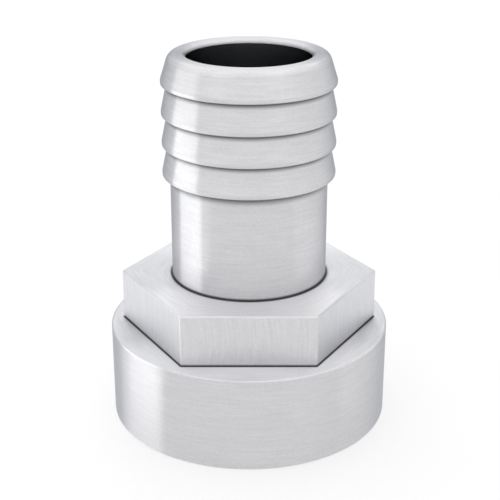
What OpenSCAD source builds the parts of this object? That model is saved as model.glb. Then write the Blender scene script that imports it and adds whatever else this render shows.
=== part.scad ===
// Hose barb fitting: a tail for 25 mm hose on a female 1 inch parallel pipe thread.
// One piece of stainless steel bar: the outside is turned, six flats are milled for a spanner,
// and the flow bore and the threaded socket are cut from the two ends.
// It stands on the face of its socket, with the flow axis along Z and the hose tail on top.
// All sizes are in millimetres.

/* [Hose tail] */
// Outside diameter of the plain shank, which is the inside diameter of the hose
shank_d = 25; // [22:0.1:27]
// Plain length of the shank, from the top of the hexagon to the lowest barb
shank_len = 16.9; // [6:0.1:40]
// Radius of the fillet between the shank and the top of the hexagon
shank_fillet = 0.3; // [0.2:0.1:1.5]
// Number of barbs
barb_count = 4; // [2:1:7]
// Distance from one barb to the next
barb_pitch = 4.85; // [2.5:0.05:8]
// Diameter over the crests of the barbs
barb_crest_d = 27.4; // [26.8:0.1:32]
// Diameter at the narrow end of each barb, under the crest of the one above it
barb_root_d = 25.6; // [22:0.1:27]
// Length of the narrow cylindrical land on each crest
crest_land = 0.4; // [0.2:0.05:1.5]
// Rounding of the edge where each barb grips the hose
crest_round = 0.25; // [0.1:0.05:0.35]

/* [Tip] */
// Length of the top barb, from its gripping edge to the end of the tail
tip_len = 4.75; // [3:0.05:12]
// Diameter that the top barb's taper reaches at the end of the tail
tip_d = 24.8; // [22.5:0.1:26.5]
// Rounding of the outer edge of the lip
lip_round = 1.5; // [0.3:0.1:2]
// Rounding of the edge where the bore leaves the tip
mouth_round = 0.8; // [0.2:0.1:0.8]

/* [Hexagon] */
// Distance across the flats
hex_af = 36; // [31:0.5:38.5]
// Height of the hexagon
hex_h = 8.4; // [5:0.1:20]
// Break on the top edges of the flats
hex_edge = 0.25; // [0.1:0.05:1]
// How much the six corners are turned down from a sharp point
hex_corner = 0.05; // [0.05:0.05:1]

/* [Socket] */
// Outside diameter of the round socket
socket_d = 45.5; // [43:0.5:60]
// Height of the round socket
socket_h = 15.4; // [13:0.1:30]
// Rounding of the socket's two outer edges
socket_round = 0.3; // [0.1:0.1:1]

/* [Bore and thread] */
// Diameter of the flow bore
bore_d = 19.5; // [12:0.5:21]
// Chamfer where the flow bore opens into the seat
bore_chamfer = 0.5; // [0.2:0.1:1.5]
// Major diameter of the female pipe thread, which the plain threaded wall is cut to
thread_d = 33.25; // [26:0.05:38]
// Length of the thread, from the socket's face to the relief groove
thread_len = 12; // [8:0.1:14.5]
// Width of the relief groove, from the end of the thread to the flat seat
relief_len = 2.5; // [1.2:0.1:5]
// Depth of the relief groove below the thread's major diameter
relief_depth = 0.45; // [0.25:0.05:0.8]
// Size of the chamfer that leads into the thread
thread_chamfer = 0.9; // [0.4:0.1:3]

/* [Hidden] */
$fn = 128;
overlap = 0.5; // how far a cutter runs past the surface that it cuts
hair = 0.002; // too small to see or to measure

shank_r = shank_d / 2;
crest_r = barb_crest_d / 2;
root_r = barb_root_d / 2;
tip_r = tip_d / 2;
socket_r = socket_d / 2;
bore_r = bore_d / 2;
thread_r = thread_d / 2;
relief_r = thread_r + relief_depth;
hex_r = hex_af / 2 / cos(30); // centre to a sharp corner

hex_top = socket_h + hex_h;
barb_start = hex_top + shank_len;
top_barb = barb_start + (barb_count - 1) * barb_pitch;
tip_top = top_barb + tip_len;
seat_z = thread_len + relief_len;
blank_r = (hex_r + socket_r - socket_round) / 2; // turned before the flats are milled from it

// The lip keeps a flat ring between its two rounded edges, however thin the wall is
lip_flat = 0.2;
lip_r = min(lip_round, tip_r - bore_r - mouth_round - lip_flat);

function unit(v) = v / norm(v);

// The sliver between an outer corner of an outline and the arc that rounds it.
// at is the corner, from and to are points along its two edges, and r is the arc's radius.
// The arc is a hair too large, so it crosses both edges instead of only grazing them.
module corner_sliver(at, from, to, r) {
    u = unit(from - at);
    v = unit(to - at);
    middle = unit(u + v);
    half_angle = acos(u * v) / 2;
    reach = r / tan(half_angle);
    centre = at + middle * r / sin(half_angle);
    difference() {
        polygon([at - middle * r, at + u * reach, centre, at + v * reach]);
        translate(centre) circle(r + hair);
    }
}

// Height of the gripping edge of barb number i, counted up from the shank
function barb_z(i) = barb_start + i * barb_pitch;

// Radius just under the gripping edge of barb number i
function under_r(i) = i == 0 ? shank_r : root_r;

// Upper end of the land on barb number i, where its taper starts
function land_end(i) = [crest_r, barb_z(i) + crest_round + crest_land];

// Outline of the turned outside, from the axis at the socket's face up to the end of the tail
module turned_outline() {
    difference() {
        polygon([
            [0, 0],
            [socket_r, 0],
            [socket_r, socket_h],
            [blank_r, socket_h],
            [blank_r, hex_top],
            [shank_r + shank_fillet, hex_top],
            [shank_r, hex_top + shank_fillet],
            for (i = [0 : barb_count - 1]) each [
                [under_r(i), barb_z(i)],
                [crest_r, barb_z(i)],
                land_end(i),
                if (i < barb_count - 1) [root_r, barb_z(i + 1)]
            ],
            [tip_r, tip_top],
            [0, tip_top]
        ]);
        translate([shank_r + shank_fillet, hex_top + shank_fillet]) circle(shank_fillet);
        corner_sliver([socket_r, 0], [0, 0], [socket_r, socket_h], socket_round);
        corner_sliver([socket_r, socket_h], [socket_r, 0], [0, socket_h], socket_round);
        for (i = [0 : barb_count - 1])
            corner_sliver([crest_r, barb_z(i)], [0, barb_z(i)], land_end(i), crest_round);
        corner_sliver([tip_r, tip_top], land_end(barb_count - 1), [0, tip_top], lip_r);
    }
}

// What the milling cutter takes away round the six flats, down to the top of the socket
module milled_away() {
    translate([0, 0, socket_h])
        linear_extrude(hex_h + overlap)
            difference() {
                circle(socket_r + overlap);
                intersection() {
                    circle(hex_r, $fn = 6);
                    circle(hex_r - hex_corner);
                }
            }
}

// The break along the top edge of each flat
module edge_breaks() {
    flat_x = hex_af / 2;
    for (i = [0 : 5])
        rotate([0, 0, 30 + 60 * i])
            translate([0, hex_r, 0])
                rotate([90, 0, 0])
                    linear_extrude(2 * hex_r)
                        polygon([
                            [flat_x + overlap, hex_top - hex_edge - overlap],
                            [flat_x + overlap, hex_top + overlap],
                            [flat_x - hex_edge - overlap, hex_top + overlap]
                        ]);
}

// Everything cut along the axis: the threaded socket, its relief and seat, and the flow bore
module bored_outline() {
    polygon([
        [0, -overlap],
        [thread_r + thread_chamfer + overlap, -overlap],
        [thread_r, thread_chamfer],
        [thread_r, thread_len],
        [relief_r, thread_len + relief_depth],
        [relief_r, seat_z],
        [bore_r + bore_chamfer, seat_z],
        [bore_r, seat_z + bore_chamfer],
        [bore_r, tip_top + overlap],
        [0, tip_top + overlap]
    ]);
    corner_sliver([bore_r, tip_top], [bore_r, 0], [tip_r, tip_top], mouth_round);
}

module hose_barb_fitting() {
    color("silver")
        difference() {
            rotate_extrude() turned_outline();
            milled_away();
            edge_breaks();
            rotate_extrude() bored_outline();
        }
}

hose_barb_fitting();
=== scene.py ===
"""A stainless steel hose barb fitting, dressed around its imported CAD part.

The real thing is one piece of bar. A lathe turns the ribbed hose tail, the round socket and their
faces, a cutter mills six flats for a spanner, and the flow bore and the female pipe thread are cut
from the two ends. So the visual model is one closed mesh as well: an outline that runs up the
outside, over the tip, down the bore and out through the thread, swept once round the flow axis.

The CAD part holds a plain wall at the thread's major diameter. The turns of the thread, the finish
that each tool leaves and the light are made here. The sizes of shapes are in millimetres, and the
scene is in metres, in the frame of the CAD part: the flow axis is Z and the socket stands on z = 0.
"""

import logging
import math
from dataclasses import dataclass, field
from enum import IntEnum
from typing import ClassVar

import bpy
import numpy as np
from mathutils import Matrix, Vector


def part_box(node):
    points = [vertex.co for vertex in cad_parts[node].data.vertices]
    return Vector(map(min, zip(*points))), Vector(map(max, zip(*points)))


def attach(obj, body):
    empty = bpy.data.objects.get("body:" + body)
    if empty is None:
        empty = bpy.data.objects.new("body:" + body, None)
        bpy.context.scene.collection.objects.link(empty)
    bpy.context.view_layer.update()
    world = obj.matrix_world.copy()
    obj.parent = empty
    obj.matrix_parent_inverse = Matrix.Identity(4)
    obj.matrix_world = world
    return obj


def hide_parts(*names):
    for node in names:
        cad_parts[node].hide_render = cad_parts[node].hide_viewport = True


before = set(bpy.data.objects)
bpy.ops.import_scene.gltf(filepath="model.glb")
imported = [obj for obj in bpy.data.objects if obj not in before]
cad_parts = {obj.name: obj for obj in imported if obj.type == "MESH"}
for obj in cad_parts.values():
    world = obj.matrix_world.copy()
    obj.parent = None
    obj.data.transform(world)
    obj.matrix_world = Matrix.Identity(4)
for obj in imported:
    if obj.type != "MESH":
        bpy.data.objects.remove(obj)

LOG = logging.getLogger("hose_barb_fitting")
NODE = "hose_barb_fitting"
MM = 0.001  # metres in a millimetre
WHITE = "#FFFFFF"


def linear_colour(hex_colour: str, alpha: float = 1.0) -> tuple[float, float, float, float]:
    """Turns an sRGB hex colour into the linear values that shaders work in.

    Args:
        hex_colour: Six hex digits after a hash sign.
        alpha: The fourth value, which colour sockets also hold.

    Returns:
        Linear red, green and blue from 0 to 1, and alpha.
    """
    srgb = np.array([int(hex_colour[i : i + 2], 16) for i in (1, 3, 5)]) / 255
    linear = np.where(srgb <= 0.04045, srgb / 12.92, ((srgb + 0.055) / 1.055) ** 2.4)
    return (*map(float, linear), alpha)


def add_node(
    tree: bpy.types.NodeTree, kind: str, inputs: dict | None = None, **settings: object
) -> bpy.types.Node:
    """Adds one shader node with its settings, and fills or links its inputs.

    Args:
        tree: The node tree that gets the node.
        kind: Blender's identifier of the node.
        inputs: For each input, by name or number, a value or the output that feeds it.
        **settings: Properties of the node, such as its operation.

    Returns:
        The new node.
    """
    node = tree.nodes.new(kind)
    for name, value in settings.items():
        setattr(node, name, value)
    for name, value in (inputs or {}).items():
        if isinstance(value, bpy.types.NodeSocket):
            tree.links.new(value, node.inputs[name])
        else:
            node.inputs[name].default_value = value
    return node


class Tool(IntEnum):
    """What cut a surface, which is also the number of its material slot."""

    LATHE = 0
    MILL = 1
    BORING_BAR = 2
    THREAD_TAP = 3
    FACING_TOOL = 4


@dataclass(frozen=True)
class SteelFinish:
    """Austenitic stainless steel as one tool leaves it, without plating or paint.

    Bare steel has no diffuse colour: all that the eye gets is a reflection, blurred by the marks of
    the tool. It blurs far more across the marks than along them, which Anisotropic stands for. The
    colour also holds painted shade, darkening in the inner corners along with some residue.
    """

    name: str
    light: str  # sRGB colour on the crests of the marks
    dark: str  # sRGB colour in the marks
    smooth: float  # roughness on the crests of the marks
    rough: float  # roughness in the marks
    across: float  # how much more the reflection blurs across the marks than along them
    edge_tint: str  # colour of a grazing reflection, which steel keeps darker than a mirror does
    mark_depth: float  # in millimetres
    grain_share: float  # how much of the colour's pattern is grain, beside the marks of the tool

    grain_size: ClassVar[float] = 0.35  # in millimetres; real grit is far finer, and wouldn't show
    noise_detail: ClassVar[float] = 2.0  # how many times finer noise is laid over the noise
    contrast: ClassVar[tuple[float, float]] = (0.32, 0.68)  # the noise that gives dark and light
    shade_and_residue: ClassVar[str] = "#3A383B"  # painted shade in the inner corners, mixed with the cutting oil and dust that gather there
    shade_and_residue_fade: ClassVar[tuple[float, float]] = (0.1, 1.05)  # the depth that gives none and all of the painted corner shade and residue
    quarter_turn: ClassVar[float] = 0.25  # of the tangent, so that the blur runs across the marks

    def marks(self, tree: bpy.types.NodeTree) -> bpy.types.NodeSocket:
        """Adds the nodes for the marks of the tool and returns their height, from 0 to 1."""
        raise NotImplementedError

    def grain(self, tree: bpy.types.NodeTree) -> bpy.types.NodeSocket:
        """Adds a fine even mottling, as a light blasting leaves, and returns it, from 0 to 1."""
        place = add_node(tree, "ShaderNodeTexCoord").outputs["Object"]
        size = 1 / (self.grain_size * MM)
        noise = {"Vector": place, "Scale": size, "Detail": self.noise_detail}
        return add_node(tree, "ShaderNodeTexNoise", noise).outputs["Fac"]

    def build(self) -> bpy.types.Material:
        """Makes the material: a metal whose colour, roughness and height follow the tool's marks, and
        whose colour darkens towards the inner corners with painted shade and residue.

        Returns:
            The new material.
        """
        material = bpy.data.materials.new(self.name)
        material.use_nodes = True
        tree = material.node_tree
        tree.nodes.clear()
        marks = self.marks(tree)
        both = add_node(
            tree,
            "ShaderNodeMix",
            {0: self.grain_share, 2: marks, 3: self.grain(tree)},
            data_type="FLOAT",
        ).outputs[0]
        darkest, lightest = self.contrast
        spread = add_node(
            tree, "ShaderNodeMapRange", {"Value": both, "From Min": darkest, "From Max": lightest}
        ).outputs["Result"]
        colour = add_node(
            tree,
            "ShaderNodeMix",
            {0: spread, 6: linear_colour(self.dark), 7: linear_colour(self.light)},
            data_type="RGBA",
        ).outputs[2]
        # painted shade, with residue, darkens the colour towards the inner corners
        depth = add_node(tree, "ShaderNodeAttribute", attribute_name="crevice").outputs["Fac"]
        clear_depth, full_depth = self.shade_and_residue_fade
        crevice = add_node(
            tree,
            "ShaderNodeMapRange",
            {"Value": depth, "From Min": clear_depth, "From Max": full_depth},
            interpolation_type="SMOOTHSTEP",
        ).outputs["Result"]
        shaded_and_stained = add_node(
            tree,
            "ShaderNodeMix",
            {0: crevice, 6: colour, 7: linear_colour(self.shade_and_residue)},
            data_type="RGBA",
        ).outputs[2]
        roughness = add_node(
            tree, "ShaderNodeMapRange", {"Value": spread, "To Min": self.rough, "To Max": self.smooth}
        ).outputs["Result"]
        relief = add_node(
            tree,
            "ShaderNodeBump",
            {"Height": marks, "Strength": 1.0, "Distance": self.mark_depth * MM},
        ).outputs["Normal"]
        around = add_node(
            tree, "ShaderNodeTangent", direction_type="RADIAL", axis="Z"
        ).outputs["Tangent"]
        shader = add_node(
            tree,
            "ShaderNodeBsdfPrincipled",
            {
                "Base Color": shaded_and_stained,
                "Metallic": 1.0,
                "Roughness": roughness,
                "Normal": relief,
                "Tangent": around,
                "Anisotropic": self.across,
                "Anisotropic Rotation": self.quarter_turn,
                "Specular Tint": linear_colour(self.edge_tint),
            },
        )
        add_node(tree, "ShaderNodeOutputMaterial", {"Surface": shader.outputs["BSDF"]})
        return material


@dataclass(frozen=True)
class TurnedSteel(SteelFinish):
    """Steel from the lathe: fine rings round the axis, which stretch each highlight along it."""

    feed: float = 0.28  # in millimetres; a finishing feed is near 0.1, drawn coarser so that it shows
    ring_change: float = 0.2  # how much a ring changes over a millimetre of its way round

    def marks(self, tree: bpy.types.NodeTree) -> bpy.types.NodeSocket:
        """Adds rings: noise that changes fast along the outline and slowly round the axis."""
        place = add_node(tree, "ShaderNodeAttribute", attribute_name="lathe").outputs["Vector"]
        scale = (self.ring_change, self.ring_change, 1 / self.feed)
        stretched = add_node(tree, "ShaderNodeVectorMath", {0: place, 1: scale}, operation="MULTIPLY")
        noise = {"Vector": stretched.outputs[0], "Scale": 1.0, "Detail": self.noise_detail}
        return add_node(tree, "ShaderNodeTexNoise", noise).outputs["Fac"]


@dataclass(frozen=True)
class MilledSteel(SteelFinish):
    """Steel from a face mill: wide shallow arcs, one for each turn of the cutter."""

    next_flat: ClassVar[float] = 100.0  # how far apart in the noise two flats lie, to differ

    feed: float = 0.35  # in millimetres; drawn coarser than the real 0.2 so that it shows
    arc_change: float = 0.15  # how much an arc changes over a millimetre of its length
    cutter_r: float = 20.0  # in millimetres
    feed_z: float = 19.6  # the height that the cutter's axis runs at, in millimetres

    def marks(self, tree: bpy.types.NodeTree) -> bpy.types.NodeSocket:
        """Adds arcs round a point beside each flat: noise, fast across the arcs and slow along them."""
        place = add_node(tree, "ShaderNodeAttribute", attribute_name="flat").outputs["Vector"]
        centre = (-self.cutter_r, self.feed_z, 0.0)
        moved = add_node(
            tree, "ShaderNodeVectorMath", {0: place, 1: centre}, operation="SUBTRACT"
        ).outputs[0]
        level = add_node(tree, "ShaderNodeVectorMath", {0: moved, 1: (1, 1, 0)}, operation="MULTIPLY")
        away = add_node(
            tree, "ShaderNodeVectorMath", {0: level.outputs[0]}, operation="LENGTH"
        ).outputs["Value"]
        arc = add_node(tree, "ShaderNodeMath", {0: away, 1: self.feed}, operation="DIVIDE")
        fast = add_node(tree, "ShaderNodeCombineXYZ", {"Z": arc.outputs[0]})
        slow = (self.arc_change, self.arc_change, self.next_flat)
        pattern = add_node(
            tree,
            "ShaderNodeVectorMath",
            {0: moved, 1: slow, 2: fast.outputs[0]},
            operation="MULTIPLY_ADD",
        ).outputs[0]
        noise = {"Vector": pattern, "Scale": 1.0, "Detail": self.noise_detail}
        return add_node(tree, "ShaderNodeTexNoise", noise).outputs["Fac"]


@dataclass(frozen=True)
class Corner:
    """A corner of the outline, in millimetres, and the surface that runs on from it."""

    radius: float  # from the axis, or to the middle of a flat
    height: float
    rounding: float = 0.0
    tool: Tool = Tool.LATHE
    flats: bool = False  # the outline is the hexagon here, and a circle elsewhere
    steps: int = 1  # faces across the rounding
    shade_and_residue_before: float = 0.0  # how far painted shade and residue spread from here, back towards the corner before
    shade_and_residue_after: float = 0.0  # and on towards the next corner

    def deepest(self, share: float) -> float:
        """Gives the painted shade and residue at a share of the way round the corner: full if sharp, else
        most halfway.
        """
        if not self.shade_and_residue_before + self.shade_and_residue_after:
            return 0.0
        return 0.5 + 0.5 * math.sin(math.pi * share) if self.rounding else 1.0


@dataclass
class PipeThread:
    """The female parallel pipe thread of the 55 degree form, G1: 11 turns to the inch."""

    major_r: float
    pitch: float = 25.4 / 11
    depth_share: float = 0.640327  # of the pitch, from root to crest
    rounding_share: float = 0.137329  # of the pitch, the radius of both crest and root
    flank_angle: float = 27.5  # degrees, from a plane across the axis

    def radius(self, height: np.ndarray, angle: np.ndarray) -> np.ndarray:
        """Works out the wall of the thread.

        Across one turn the form is an arc at the crest, a straight flank and an arc at the root. The
        place in the turn is height less pitch times angle over a full turn: a right-hand helix. The
        second half of a turn mirrors the first, and the root's arc mirrors the crest's.

        Args:
            height: Heights above the socket's face, in millimetres.
            angle: Angles round the axis, in radians.

        Returns:
            The distance from the axis for each pair, in millimetres.
        """
        depth = self.depth_share * self.pitch
        rounding = self.rounding_share * self.pitch
        turn = (height / self.pitch - angle / (2 * math.pi)) % 1
        from_crest = np.minimum(turn, 1 - turn) * self.pitch
        from_nearer = np.minimum(from_crest, self.pitch / 2 - from_crest)
        slope = 1 / math.tan(math.radians(self.flank_angle))
        arc_end = rounding * math.sin(math.atan(slope))
        arc_drop = rounding - math.sqrt(rounding**2 - arc_end**2)
        arc = rounding - np.sqrt(np.maximum(rounding**2 - np.minimum(from_nearer, arc_end) ** 2, 0))
        drop = np.where(from_nearer < arc_end, arc, arc_drop + slope * (from_nearer - arc_end))
        return self.major_r - depth + np.where(from_crest < self.pitch / 4, drop, depth - drop)


@dataclass
class HoseBarbFitting:
    """The whole fitting, one closed surface. Sizes are in millimetres."""

    socket_r: float
    tip_top: float
    socket_h: float = 15.4
    socket_round: float = 0.3
    hex_apothem: float = 18.0
    hex_corner: float = 0.05  # how much the corners are turned down from a sharp point
    hex_h: float = 8.4
    hex_edge: float = 0.25
    shank_r: float = 12.5
    shank_len: float = 16.9
    shank_fillet: float = 0.3
    barb_count: int = 4
    barb_pitch: float = 4.85
    crest_r: float = 13.7
    root_r: float = 12.8
    crest_land: float = 0.4
    crest_round: float = 0.25
    tip_r: float = 12.4
    lip_round: float = 1.5
    mouth_round: float = 0.8
    bore_r: float = 9.75
    bore_chamfer: float = 0.5
    seat_z: float = 14.5
    relief_r: float = 17.075
    thread_len: float = 12.0
    thread_chamfer: float = 0.9
    thread: PipeThread = field(default_factory=lambda: PipeThread(major_r=16.625))

    support: float = 0.04  # the first row beside an edge, which keeps the shading of a face flat
    support_share: float = 0.1  # the most of a side that it may be
    shade_and_residue_share: float = 0.45  # the most of a side that one corner's painted shade and residue covers
    beside_corner: float = 0.25  # degrees from a corner of the hexagon to the next column
    thread_rows: int = 176
    columns_per_flat: int = 26

    @classmethod
    def from_frame(cls) -> "HoseBarbFitting":
        """Takes the widest radius and the full height from the CAD part's box."""
        low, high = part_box(NODE)
        return cls(socket_r=max(high.x, high.y) / MM, tip_top=high.z / MM)

    @property
    def hex_top(self) -> float:
        """Height of the hexagon's top face."""
        return self.socket_h + self.hex_h

    @property
    def hex_corner_r(self) -> float:
        """Radius that the hexagon's corners are turned to: the sharp corner's, less the turning."""
        return self.hex_apothem / math.cos(math.radians(30)) - self.hex_corner

    def corners(self) -> list[Corner]:
        """Lists the outline's corners, from the socket's face up the outside and down the bore.

        Returns:
            The corners in order. The thread's wall closes the outline from the last to the first.
        """
        crest = self.hex_top + self.shank_len
        # painted shade and residue darken the inner corners: the hexagon's foot, the shank's foot and
        # under each barb
        listed = [
            Corner(self.thread.major_r + self.thread_chamfer, 0, tool=Tool.FACING_TOOL),
            Corner(self.socket_r, 0, self.socket_round, steps=6),
            Corner(self.socket_r, self.socket_h, self.socket_round, steps=6, tool=Tool.FACING_TOOL),
            Corner(
                self.hex_apothem,
                self.socket_h,
                tool=Tool.MILL,
                flats=True,
                shade_and_residue_before=0.4,
                shade_and_residue_after=0.5,
            ),
            Corner(self.hex_apothem, self.hex_top - self.hex_edge, flats=True),
            Corner(self.hex_apothem - self.hex_edge, self.hex_top, tool=Tool.FACING_TOOL, flats=True),
            Corner(
                self.shank_r,
                self.hex_top,
                self.shank_fillet,
                steps=6,
                shade_and_residue_before=0.35,
                shade_and_residue_after=0.35,
            ),
            Corner(self.shank_r, crest, shade_and_residue_before=1.8),
        ]
        for number in range(self.barb_count):
            base = crest + number * self.barb_pitch
            if number:
                listed.append(Corner(self.root_r, base, shade_and_residue_before=1.2))
            listed += [
                Corner(self.crest_r, base, self.crest_round, steps=5),
                Corner(self.crest_r, base + self.crest_round + self.crest_land),
            ]
        relief_start = self.thread_len + self.relief_r - self.thread.major_r
        return listed + [
            Corner(self.tip_r, self.tip_top, self.lip_round, steps=12),
            Corner(self.bore_r, self.tip_top, self.mouth_round, steps=8, tool=Tool.BORING_BAR),
            Corner(self.bore_r, self.seat_z + self.bore_chamfer),
            Corner(self.bore_r + self.bore_chamfer, self.seat_z),
            Corner(self.relief_r, self.seat_z),
            Corner(self.relief_r, relief_start, tool=Tool.THREAD_TAP),
        ]

    def angles(self) -> np.ndarray:
        """Lists the angles of the columns, with one on each edge of the hexagon's six narrow corners.

        Returns:
            Angles in radians from one corner of the hexagon round to just before it again.
        """
        land = 30 - math.degrees(math.acos(self.hex_apothem / self.hex_corner_r))
        first = land + self.beside_corner
        inside = np.linspace(first, 60 - first, self.columns_per_flat + 1)
        sixth = np.concatenate([[0, land], inside, [60 - land]])
        return np.radians((sixth + 60 * np.arange(6)[:, None]).ravel())

    def curve(self, radius: np.ndarray, flats: bool, angle: np.ndarray) -> np.ndarray:
        """Gives rows of the outline their distance from the axis at each angle.

        A circle keeps its radius. The hexagon's is the distance to its flat over the cosine of the
        angle from the middle of the flat, and no more than the radius that its corners are turned to.

        Args:
            radius: One radius, or distance to the flat, for each row.
            flats: True for the hexagon.
            angle: The angles of the columns.

        Returns:
            An array of rows by columns.
        """
        rows = np.repeat(np.asarray(radius, float)[:, None], len(angle), 1)
        if not flats:
            return rows
        from_middle = angle % math.radians(60) - math.radians(30)
        return np.minimum(rows / np.cos(from_middle), self.hex_corner_r)

    def rounded(self, before: Corner, corner: Corner, after: Corner) -> tuple[np.ndarray, np.ndarray]:
        """Replaces a corner of the outline by an arc that touches both of its sides.

        The arc's centre lies on the line that halves the corner, and its ends lie the rounding over
        the tangent of half the corner's angle away from it.

        Args:
            before: The corner before this one.
            corner: The corner itself.
            after: The corner after it.

        Returns:
            The radii and the heights of the points along the arc.
        """
        at = np.array([corner.radius, corner.height])
        if not corner.rounding:
            return at[:1], at[1:]
        sides = np.array([[c.radius, c.height] for c in (before, after)]) - at
        sides /= np.linalg.norm(sides, axis=1)[:, None]
        half = math.acos(float(sides[0] @ sides[1])) / 2
        middle = sides.sum(0) / np.linalg.norm(sides.sum(0))
        centre = at + middle * corner.rounding / math.sin(half)
        first, last = at + sides * corner.rounding / math.tan(half) - centre
        sweep = math.pi - 2 * half
        share = np.linspace(0, 1, corner.steps + 1)[:, None]
        between = np.sin((1 - share) * sweep) * first + np.sin(share * sweep) * last
        arc = centre + between / math.sin(sweep)
        return arc[:, 0], arc[:, 1]

    def rows(self, angle: np.ndarray) -> tuple[np.ndarray, np.ndarray, np.ndarray, np.ndarray]:
        """Works out the whole surface as rows along the outline by columns round the axis.

        Between two corners lie four more rows: one close to each corner, and one where the painted shade
        and residue of each corner ends. A rounded corner is cut by the tool of the side before it. The
        thread's wall has rows of its own, on which the lead-in cone and the relief groove's cone cut it
        short.

        Args:
            angle: The angles of the columns.

        Returns:
            Distances from the axis and heights, as rows by columns, then for each row the tool that
            cut the faces from there to the next one, and the painted shade and residue from 0 to 1.
        """
        corners = self.corners()
        radii, heights, tools, shade_and_residue = [], [], [], []
        around = zip([corners[0]] + corners[:-1], corners, corners[1:] + [corners[-1]])
        for before, corner, after in around:
            radius, height = self.rounded(before, corner, after)
            block = self.curve(radius, corner.flats, angle)
            level = np.repeat(height[:, None], len(angle), 1)
            if radii:
                span = np.hypot(block[0] - radii[-1][-1], level[0] - heights[-1][-1])
                near = np.minimum(self.support / span, self.support_share)
                start = np.clip(before.shade_and_residue_after / span, 2 * near, self.shade_and_residue_share)
                end = np.clip(corner.shade_and_residue_before / span, 2 * near, self.shade_and_residue_share)
                share = np.stack([near, start, 1 - end, 1 - near])
                radii.append((1 - share) * radii[-1][-1] + share * block[0])
                heights.append((1 - share) * heights[-1][-1] + share * level[0])
                tools += [before.tool] * 4
                shade_and_residue += [before.deepest(0), 0.0, 0.0, corner.deepest(0)]
            radii.append(block)
            heights.append(level)
            tools += [before.tool] * (len(block) - 1) + [corner.tool]
            shade_and_residue += [corner.deepest(share) for share in np.linspace(0, 1, len(block) + 2)[1:-1]]
        top = corners[-1].height
        level = np.linspace(top, self.support, self.thread_rows)[1:, None] + 0 * angle
        lead_in = self.thread.major_r + self.thread_chamfer - level
        relief = self.thread.major_r + level - self.thread_len
        wall = self.thread.radius(level, angle + 0 * level)
        radii.append(np.maximum(wall, np.maximum(lead_in, relief)))
        heights.append(level)
        tools += [Tool.THREAD_TAP] * len(level)
        shade_and_residue += [0.0] * len(level)
        return np.vstack(radii), np.vstack(heights), np.array(tools, np.int32), np.array(shade_and_residue)

    def mesh(self) -> bpy.types.Mesh:
        """Builds the closed mesh, with the two attributes that its finishes follow and one for painted
        shade.

        The attribute lathe is x, y and the distance along the outline, so that rings on it run round
        the axis. The attribute flat is the place across a flat, the height and the flat's number.
        Both are in millimetres and belong to each face's corners, so neither wraps inside a face. The
        attribute crevice, on the points, is how far painted shade and residue darken the colour near an
        inner corner.

        Returns:
            The mesh, in metres, with a material slot number on each face.
        """
        angle = self.angles()
        radius, height, tool, shade_and_residue = self.rows(angle)
        rows, columns = radius.shape
        points = np.stack([radius * np.cos(angle), radius * np.sin(angle), height], -1) * MM
        row = np.repeat(np.arange(rows), columns)
        column = np.tile(np.arange(columns), rows)
        row_of = np.stack([row, row, row + 1, row + 1], 1)
        column_of = np.stack([column, column + 1, column + 1, column], 1)
        faces = (row_of % rows) * columns + column_of % columns

        outward = np.diff(radius[:, 0], append=radius[0, 0])
        upward = np.diff(height[:, 0], append=height[0, 0])
        step = np.hypot(outward, upward)
        along = np.concatenate([[0], np.cumsum(step)])[row_of]
        turned = np.append(angle, 2 * math.pi)[column_of]
        away = radius[row_of % rows, column_of % columns]
        level = height[row_of % rows, column_of % columns]
        flat = np.floor(turned.mean(1, keepdims=True) / math.radians(60))
        across = away * np.sin(turned - math.radians(60) * flat - math.radians(30))
        lathe = np.stack([np.cos(turned) * away, np.sin(turned) * away, along], -1)
        flats = np.stack([across, level, flat + 0 * across], -1)

        mesh = bpy.data.meshes.new(NODE + "_body")
        mesh.from_pydata(points.reshape(-1, 3), [], faces)
        mesh.polygons.foreach_set("material_index", tool[row])
        mesh.shade_smooth()
        for name, values in (("lathe", lathe), ("flat", flats)):
            attribute = mesh.attributes.new(name, "FLOAT_VECTOR", "CORNER")
            attribute.data.foreach_set("vector", values.astype(np.float32).ravel())
        # how much painted shade and residue each point gets, deepest in the inner corners
        attribute = mesh.attributes.new("crevice", "FLOAT", "POINT")
        attribute.data.foreach_set("value", shade_and_residue[row].astype(np.float32))
        mesh.update()
        return mesh

    def finishes(self) -> list[SteelFinish]:
        """Lists the finish of each tool, in the order of the material slots. The bored one is darkened as
        painted shade, and the faced one is lightened as painted light.
        """
        grey = {"light": "#DADADC", "dark": "#CFCFD2"}
        return [
            TurnedSteel(
                "stainless_steel_turned",
                **grey,
                smooth=0.31,
                rough=0.37,
                across=1.0,
                edge_tint="#B4B6BA",
                mark_depth=0.006,
                grain_share=0.45,
            ),
            MilledSteel(
                "stainless_steel_milled",
                **grey,
                smooth=0.36,
                rough=0.42,
                across=0.3,
                edge_tint="#D0D2D5",
                mark_depth=0.003,
                grain_share=0.45,
            ),
            TurnedSteel(
                "stainless_steel_bored_painted_shade",
                # painted shade: much darker than the turned steel, so that the bore looks dark inside
                light="#85878A",
                dark="#6C6E72",
                smooth=0.20,
                rough=0.26,
                across=0.6,
                edge_tint="#808286",
                mark_depth=0.004,
                grain_share=0.45,
                feed=0.4,
            ),
            TurnedSteel(
                "stainless_steel_threaded",
                # darker than the turned steel
                light="#BFC0C4",
                dark="#A9ABAF",
                smooth=0.30,
                rough=0.38,
                across=0.3,
                edge_tint="#A0A2A6",
                mark_depth=0.004,
                grain_share=0.45,
                feed=0.35,
            ),
            TurnedSteel(
                "stainless_steel_faced_painted_light",
                # painted light: lighter than the turned steel, so that the faces that look up, the
                # hexagon's top and the socket's ledge, show paler
                light="#E5E5E7",
                dark="#D9D9DC",
                smooth=0.38,
                rough=0.46,
                across=1.0,
                edge_tint="#D0D2D5",
                mark_depth=0.005,
                grain_share=0.45,
                feed=0.35,
            ),
        ]

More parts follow.
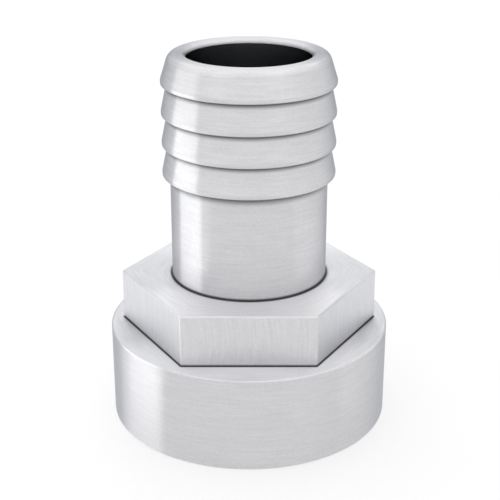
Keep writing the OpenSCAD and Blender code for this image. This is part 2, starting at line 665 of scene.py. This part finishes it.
    def build(self) -> bpy.types.Object:
        """Makes the piece, dresses it and puts it in the CAD part's place.

        Returns:
            The finished piece.
        """
        piece = bpy.data.objects.new(NODE + "_body", self.mesh())
        bpy.context.scene.collection.objects.link(piece)
        for finish in self.finishes():
            piece.data.materials.append(finish.build())
        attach(piece, "root")
        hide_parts(NODE)
        return piece


@dataclass(frozen=True)
class Softbox:
    """A lamp with a flat rectangular front, which is turned to face a point of the part."""

    name: str
    bearing: float  # degrees round the axis, from the camera's side towards its right
    distance: float  # metres from the axis
    height: float  # metres, of its middle
    width: float
    tall: float
    watts: float
    aim: float = 0.03  # height of the point that it faces

    def build(self) -> bpy.types.Object:
        """Makes the lamp. The camera doesn't see it, and the steel reflects it."""
        light = bpy.data.lights.new(self.name, "AREA")
        light.shape = "RECTANGLE"
        light.size, light.size_y = self.width, self.tall
        light.energy = self.watts
        lamp = bpy.data.objects.new(self.name, light)
        turn = math.radians(self.bearing)
        place = (self.distance * math.sin(turn), -self.distance * math.cos(turn), self.height)
        lamp.location = place
        tilt = math.atan2(self.distance, self.height - self.aim)
        lamp.rotation_euler = (tilt, 0, turn)
        lamp.visible_camera = False
        bpy.context.scene.collection.objects.link(lamp)
        return lamp


@dataclass
class Studio:
    """The photograph's point of view, a plain white floor and soft light."""

    lens: float = 85.1  # in millimetres, for the photograph's angle of view
    sensor_width: float = 36.0  # in millimetres
    clip_start: float = 0.001  # metres; the camera stands close to a small part
    distance: float = 0.1927  # from the camera to the point that it looks at
    elevation: float = 22.09
    looks_at: tuple[float, float, float] = (0.000163, 0.0, 0.0273)
    floor_drop: float = 0.00002  # keeps the floor clear of the socket's face
    floor_size: float = 6.0
    floor_colour: str = "#F4F4F4"
    floor_glow: float = 0.45  # how much of the floor's white, where it is seen, takes no shadow
    ambient: float = 0.7  # strength of the world where it lights the floor
    lit_near: float = 1.0  # light on the floor round the part, with the lamps, where 1 is white
    lit_reach: tuple[float, float] = (0.12, 1.15)  # metres from the axis between which it fades
    softboxes: tuple[Softbox, ...] = (
        Softbox(
            "strip_softbox", bearing=-90, distance=0.14, height=0.0225, width=0.11, tall=0.045, watts=0.028
        ),
        # The three low ones stand on the floor just outside the picture. They light the socket, the
        # flats and the shank, which higher ones can't do without a second pale band on the barbs.
        Softbox(
            "low_band_softbox",
            bearing=-73,
            distance=0.052,
            height=0.004,
            width=0.03,
            tall=0.008,
            watts=0.0009,
            aim=0.008,
        ),
        Softbox(
            "low_right_softbox",
            bearing=98,
            distance=0.06,
            height=0.005,
            width=0.08,
            tall=0.01,
            watts=0.001,
            aim=0.008,
        ),
        Softbox(
            "low_left_softbox",
            bearing=-115,
            distance=0.06,
            height=0.005,
            width=0.06,
            tall=0.01,
            watts=0.0005,
            aim=0.008,
        ),
        Softbox("overhead_softbox", bearing=0, distance=0.02, height=0.45, width=1.2, tall=1.2, watts=2.0),
        Softbox("back_softbox", bearing=180, distance=0.4, height=0.26, width=0.6, tall=0.3, watts=0.21),
    )

    def camera(self) -> bpy.types.Object:
        """Makes the camera at the photograph's viewing angle and sets it as the scene's."""
        lens = bpy.data.cameras.new("camera")
        lens.sensor_width = self.sensor_width
        lens.lens = self.lens
        lens.clip_start = self.clip_start
        camera = bpy.data.objects.new("camera", lens)
        rise = math.radians(self.elevation)
        x, y, z = self.looks_at
        camera.location = (x, y - self.distance * math.cos(rise), z + self.distance * math.sin(rise))
        camera.rotation_euler = (math.pi / 2 - rise, 0, 0)
        bpy.context.scene.collection.objects.link(camera)
        bpy.context.scene.camera = camera
        return camera

    def seen_directly(self, tree: bpy.types.NodeTree, kinds: tuple[str, ...]) -> bpy.types.NodeSocket:
        """Adds a switch that is 1 for the kinds of ray named and 0 for the rest.

        Args:
            tree: The node tree of the floor or the world.
            kinds: Outputs of the Light Path node.

        Returns:
            The highest of those outputs.
        """
        path = add_node(tree, "ShaderNodeLightPath")
        switch = path.outputs[kinds[0]]
        for kind in kinds[1:]:
            switch = add_node(
                tree, "ShaderNodeMath", {0: switch, 1: path.outputs[kind]}, operation="MAXIMUM"
            ).outputs[0]
        return switch

    def world(self) -> None:
        """Makes the world white where it is seen, also in the steel, and softer where it lights."""
        world = bpy.data.worlds.new("studio")
        bpy.context.scene.world = world
        world.use_nodes = True
        tree = world.node_tree
        tree.nodes.clear()
        seen = self.seen_directly(tree, ("Is Camera Ray", "Is Glossy Ray", "Is Transmission Ray"))
        strength = add_node(
            tree, "ShaderNodeMapRange", {"Value": seen, "To Min": self.ambient, "To Max": 1.0}
        ).outputs["Result"]
        white = {"Color": linear_colour(WHITE), "Strength": strength}
        light = add_node(tree, "ShaderNodeBackground", white)
        add_node(tree, "ShaderNodeOutputWorld", {"Surface": light.outputs[0]})

    def floor(self) -> bpy.types.Object:
        """Makes the plain white floor, which keeps the part's shadow.

        Where it is seen, it glows by what the light on it falls short of white. That light fades from
        the part outwards, so without a shadow the floor looks as white as the world all over.

        Returns:
            The floor.
        """
        half = self.floor_size / 2
        mesh = bpy.data.meshes.new("floor")
        around = ((-half, -half), (half, -half), (half, half), (-half, half))
        mesh.from_pydata([(x, y, -self.floor_drop) for x, y in around], [], [(0, 1, 2, 3)])
        floor = bpy.data.objects.new("floor", mesh)
        bpy.context.scene.collection.objects.link(floor)
        material = bpy.data.materials.new("white_paper")
        material.use_nodes = True
        tree = material.node_tree
        tree.nodes.clear()
        matt = add_node(tree, "ShaderNodeBsdfDiffuse", {"Color": linear_colour(self.floor_colour)})
        place = add_node(tree, "ShaderNodeTexCoord").outputs["Object"]
        away = add_node(tree, "ShaderNodeVectorMath", {0: place}, operation="LENGTH").outputs["Value"]
        matt_share = (1 - self.floor_glow) * linear_colour(self.floor_colour)[0]
        lights = (self.lit_near, self.ambient)
        near, far = ((1 - matt_share * light) / self.floor_glow for light in lights)
        start, end = self.lit_reach
        strength = add_node(
            tree,
            "ShaderNodeMapRange",
            {"Value": away, "From Min": start, "From Max": end, "To Min": near, "To Max": far},
            interpolation_type="SMOOTHSTEP",
        ).outputs["Result"]
        white = {"Color": linear_colour(WHITE), "Strength": strength}
        glow = add_node(tree, "ShaderNodeEmission", white)
        seen = self.seen_directly(tree, ("Is Camera Ray", "Is Glossy Ray", "Is Transmission Ray"))
        share = add_node(tree, "ShaderNodeMath", {0: seen, 1: self.floor_glow}, operation="MULTIPLY")
        mixed = add_node(
            tree, "ShaderNodeMixShader", {0: share.outputs[0], 1: matt.outputs[0], 2: glow.outputs[0]}
        )
        add_node(tree, "ShaderNodeOutputMaterial", {"Surface": mixed.outputs[0]})
        mesh.materials.append(material)
        return floor

    def build(self) -> None:
        """Makes the floor, the world and the lamps. The camera comes before the part."""
        self.world()
        self.floor()
        for softbox in self.softboxes:
            softbox.build()
        bpy.context.scene.view_settings.view_transform = "Standard"


def main() -> None:
    """Builds the camera, the fitting and the studio."""
    logging.basicConfig(level=logging.INFO, format="%(name)s: %(message)s")
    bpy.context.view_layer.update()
    studio = Studio()
    studio.camera()
    piece = HoseBarbFitting.from_frame().build()
    LOG.info("%s: %d points, %d faces", piece.name, len(piece.data.vertices), len(piece.data.polygons))
    studio.build()


if __name__ == "__main__":
    main()
